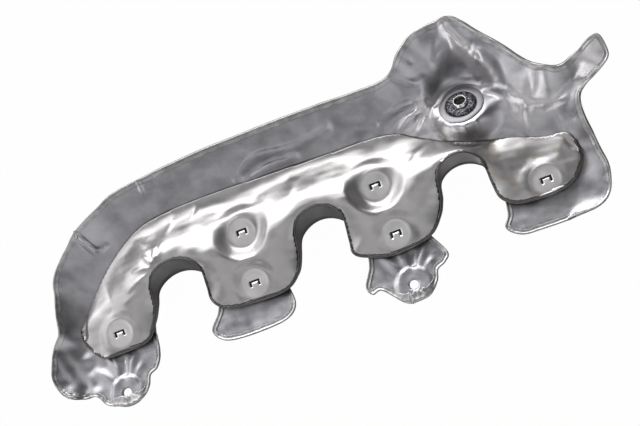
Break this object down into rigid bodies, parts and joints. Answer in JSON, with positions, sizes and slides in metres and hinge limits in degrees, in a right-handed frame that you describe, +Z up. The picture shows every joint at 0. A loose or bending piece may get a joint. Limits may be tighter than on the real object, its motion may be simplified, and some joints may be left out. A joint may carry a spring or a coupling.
{
  "type": "exhaust manifold heat shield",
  "caption": "Stamped two-layer heat shield with a comb of legs over the exhaust ports, a concave band with a folded rim, bolt tabs and a vibration isolator.",
  "frame": {"origin": "on the floor at the axis of the fixing hole in the left bolt tab", "axes": "+X along the row of exhaust ports, +Y from the bolt tabs towards the long rim, +Z up, away from the floor"},
  "size_m": [0.4048, 0.1557, 0.0466],
  "materials": {
    "shell_steel": "aluminised steel sheet, satin, slightly darkened",
    "liner_steel": "aluminised steel sheet, satin, with faint heat stains",
    "eyelet_steel": "pressed steel, satin",
    "wire_mesh": "knitted and pressed wire, dark",
    "sleeve_steel": "turned steel, bright"
  },
  "bodies": {
    "root": {"outer_shell": "shell_steel", "liner": "liner_steel", "isolator_eyelet": "eyelet_steel", "isolator_mesh": "wire_mesh", "isolator_sleeve": "sleeve_steel"}
  },
  "joints": []
}
